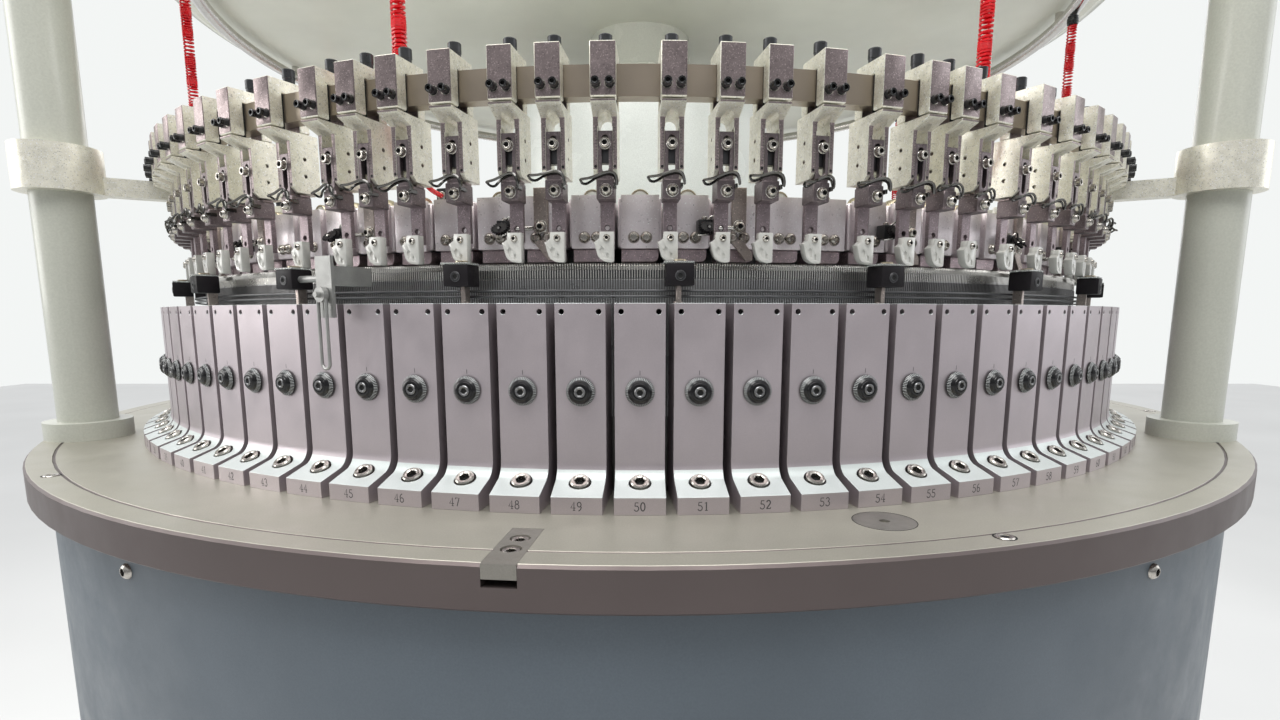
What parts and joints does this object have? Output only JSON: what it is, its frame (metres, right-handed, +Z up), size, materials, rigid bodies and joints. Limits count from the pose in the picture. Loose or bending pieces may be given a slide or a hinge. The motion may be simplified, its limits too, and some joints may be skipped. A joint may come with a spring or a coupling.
{
  "type": "industrial knitting machine",
  "caption": "Circular knitting machine: rotating needle cylinder and dial, ring of numbered cam blocks with stitch dials, yarn feeders on a ring, take-down below",
  "frame": {"origin": "on the floor, on the cylinder's axis", "axes": "+Z up along the cylinder's axis, -Y towards the operator, +X to the operator's right"},
  "size_m": [1.1039, 1.104, 1.3653],
  "materials": {
    "bed": "machined satin, beige grey",
    "cam_block": "bead-blasted satin",
    "clamp_metal": "sand-cast, fine sparkle",
    "slider_metal": "dark satin",
    "champagne_ring": "satin anodised",
    "dial_cam_metal": "milled satin",
    "dark_shoe": "dark satin",
    "bright_steel": "bright",
    "brown_steel": "brownish satin",
    "dark_steel": "oiled dark steel",
    "gear_iron": "machined",
    "black_plastic": "glossy black",
    "black_block": "satin black",
    "white_ceramic": "glazed white ceramic",
    "drum_paint": "gloss white paint",
    "crown_paint": "grey-green paint",
    "red_hose": "clear red polyurethane",
    "frame_paint": "grey paint",
    "roller_rubber": "fine-ground rubber",
    "blue_paint": "slate-blue paint",
    "motor_paint": "blue-grey paint"
  },
  "bodies": {
    "machine_frame": {"bed_plate": "bed", "bed_key_plate": "bed", "bed_plugs": "dark_steel", "bearing_ring": "gear_iron", "cam_blocks": "cam_block", "stitch_dials_rear": "black_plastic", "needle_guard_ring": "bright_steel", "guard_ring_clamps": "black_block", "feeder_ring": "champagne_ring", "feeder_ring_brackets": "clamp_metal", "feeder_clamps": "clamp_metal", "feeder_arms": "clamp_metal", "feeder_sliders": "slider_metal", "yarn_guides": "bright_steel", "ceramic_feeders": "white_ceramic", "dial_cam_plate": "dial_cam_metal", "dial_cam_blocks": "dial_cam_metal", "dial_cam_shoes": "dark_shoe", "latch_guards": "brown_steel", "yarn_clips": "black_block", "fork_bracket": "bright_steel", "hub_drum": "drum_paint", "crown": "crown_paint", "columns": "crown_paint", "air_ring": "bright_steel", "hose_coils": "red_hose", "hose_tails": "red_hose", "hose_fittings": "black_block", "drive_motor": "motor_paint", "motor_bracket": "motor_paint", "legs": "blue_paint", "base_casting": "blue_paint", "levelling_feet": "dark_steel", "apron": "blue_paint", "guard_panels": "blue_paint"},
    "cylinder": {"needle_cylinder": "dark_steel", "bull_gear": "gear_iron", "takedown_frame": "frame_paint"},
    "needle_dial": {"needle_dial": "dark_steel"},
    "drive_pinion": {"drive_pinion": "gear_iron"},
    "nip_roller_front": {"nip_roller_front": "roller_rubber"},
    "nip_roller_rear": {"nip_roller_rear": "roller_rubber"},
    "cloth_beam": {"cloth_beam": "bright_steel"},
    "front_door": {"front_door": "blue_paint", "door_handle": "black_plastic"},
    "hairpin_lever": {"hairpin_lever": "bright_steel"},
    "stitch_dial_44": {"stitch_dial_44": "black_plastic"},
    "stitch_dial_45": {"stitch_dial_45": "black_plastic"},
    "stitch_dial_46": {"stitch_dial_46": "black_plastic"},
    "stitch_dial_47": {"stitch_dial_47": "black_plastic"},
    "stitch_dial_48": {"stitch_dial_48": "black_plastic"},
    "stitch_dial_49": {"stitch_dial_49": "black_plastic"},
    "stitch_dial_50": {"stitch_dial_50": "black_plastic"},
    "stitch_dial_51": {"stitch_dial_51": "black_plastic"},
    "stitch_dial_52": {"stitch_dial_52": "black_plastic"},
    "stitch_dial_53": {"stitch_dial_53": "black_plastic"},
    "stitch_dial_54": {"stitch_dial_54": "black_plastic"},
    "stitch_dial_55": {"stitch_dial_55": "black_plastic"},
    "stitch_dial_56": {"stitch_dial_56": "black_plastic"},
    "stitch_dial_57": {"stitch_dial_57": "black_plastic"}
  },
  "joints": [
    {"name": "cylinder_spin", "type": "hinge", "parent": "machine_frame", "child": "cylinder", "pos_m": [0, 0, 0.9], "axis": [0, 0, 1], "continuous": true},
    {"name": "needle_dial_spin", "type": "hinge", "parent": "machine_frame", "child": "needle_dial", "pos_m": [0, 0, 1.02], "axis": [0, 0, 1], "continuous": true},
    {"name": "drive_pinion_spin", "type": "hinge", "parent": "machine_frame", "child": "drive_pinion", "pos_m": [0.39491, 0.228, 0.8], "axis": [0, 0, 1], "continuous": true},
    {"name": "nip_roller_front_spin", "type": "hinge", "parent": "cylinder", "child": "nip_roller_front", "pos_m": [0, -0.024, 0.52], "axis": [1, 0, 0], "continuous": true},
    {"name": "nip_roller_rear_spin", "type": "hinge", "parent": "cylinder", "child": "nip_roller_rear", "pos_m": [0, 0.024, 0.52], "axis": [1, 0, 0], "continuous": true},
    {"name": "cloth_beam_spin", "type": "hinge", "parent": "cylinder", "child": "cloth_beam", "pos_m": [0, 0, 0.33], "axis": [1, 0, 0], "continuous": true},
    {"name": "front_door_hinge", "type": "hinge", "parent": "machine_frame", "child": "front_door", "pos_m": [-0.31345, -0.44682, 0.36], "axis": [0, 0, -1], "range_deg": [0, 100]},
    {"name": "hairpin_lever_swing", "type": "hinge", "parent": "machine_frame", "child": "hairpin_lever", "pos_m": [-0.16738, -0.44722, 1.009], "axis": [-0.4598, -0.888, 0], "range_deg": [-25, 25]},
    {"name": "stitch_dial_44_turn", "type": "hinge", "parent": "machine_frame", "child": "stitch_dial_44", "pos_m": [-0.17757, -0.42868, 0.9595], "axis": [-0.3827, -0.9239, 0], "range_deg": [-150, 150]},
    {"name": "stitch_dial_45_turn", "type": "hinge", "parent": "machine_frame", "child": "stitch_dial_45", "pos_m": [-0.14915, -0.43938, 0.9595], "axis": [-0.3214, -0.9469, 0], "range_deg": [-150, 150]},
    {"name": "stitch_dial_46_turn", "type": "hinge", "parent": "machine_frame", "child": "stitch_dial_46", "pos_m": [-0.12009, -0.44819, 0.9595], "axis": [-0.2588, -0.9659, 0], "range_deg": [-150, 150]},
    {"name": "stitch_dial_47_turn", "type": "hinge", "parent": "machine_frame", "child": "stitch_dial_47", "pos_m": [-0.09052, -0.45508, 0.9595], "axis": [-0.1951, -0.9808, 0], "range_deg": [-150, 150]},
    {"name": "stitch_dial_48_turn", "type": "hinge", "parent": "machine_frame", "child": "stitch_dial_48", "pos_m": [-0.06056, -0.46003, 0.9595], "axis": [-0.1305, -0.9914, 0], "range_deg": [-150, 150]},
    {"name": "stitch_dial_49_turn", "type": "hinge", "parent": "machine_frame", "child": "stitch_dial_49", "pos_m": [-0.03035, -0.46301, 0.9595], "axis": [-0.0654, -0.9979, 0], "range_deg": [-150, 150]},
    {"name": "stitch_dial_50_turn", "type": "hinge", "parent": "machine_frame", "child": "stitch_dial_50", "pos_m": [0, -0.464, 0.9595], "axis": [0, -1, 0], "range_deg": [-150, 150]},
    {"name": "stitch_dial_51_turn", "type": "hinge", "parent": "machine_frame", "child": "stitch_dial_51", "pos_m": [0.03035, -0.46301, 0.9595], "axis": [0.0654, -0.9979, 0], "range_deg": [-150, 150]},
    {"name": "stitch_dial_52_turn", "type": "hinge", "parent": "machine_frame", "child": "stitch_dial_52", "pos_m": [0.06056, -0.46003, 0.9595], "axis": [0.1305, -0.9914, 0], "range_deg": [-150, 150]},
    {"name": "stitch_dial_53_turn", "type": "hinge", "parent": "machine_frame", "child": "stitch_dial_53", "pos_m": [0.09052, -0.45508, 0.9595], "axis": [0.1951, -0.9808, 0], "range_deg": [-150, 150]},
    {"name": "stitch_dial_54_turn", "type": "hinge", "parent": "machine_frame", "child": "stitch_dial_54", "pos_m": [0.12009, -0.44819, 0.9595], "axis": [0.2588, -0.9659, 0], "range_deg": [-150, 150]},
    {"name": "stitch_dial_55_turn", "type": "hinge", "parent": "machine_frame", "child": "stitch_dial_55", "pos_m": [0.14915, -0.43938, 0.9595], "axis": [0.3214, -0.9469, 0], "range_deg": [-150, 150]},
    {"name": "stitch_dial_56_turn", "type": "hinge", "parent": "machine_frame", "child": "stitch_dial_56", "pos_m": [0.17757, -0.42868, 0.9595], "axis": [0.3827, -0.9239, 0], "range_deg": [-150, 150]},
    {"name": "stitch_dial_57_turn", "type": "hinge", "parent": "machine_frame", "child": "stitch_dial_57", "pos_m": [0.20522, -0.41615, 0.9595], "axis": [0.4423, -0.8969, 0], "range_deg": [-150, 150]}
  ],
  "couplings": [
    {"joint": "needle_dial_spin", "follows": "cylinder_spin", "ratio": 1},
    {"joint": "drive_pinion_spin", "follows": "cylinder_spin", "ratio": -5.9091},
    {"joint": "nip_roller_front_spin", "follows": "cylinder_spin", "ratio": -2},
    {"joint": "nip_roller_rear_spin", "follows": "cylinder_spin", "ratio": 2},
    {"joint": "cloth_beam_spin", "follows": "cylinder_spin", "ratio": 1.5}
  ]
}
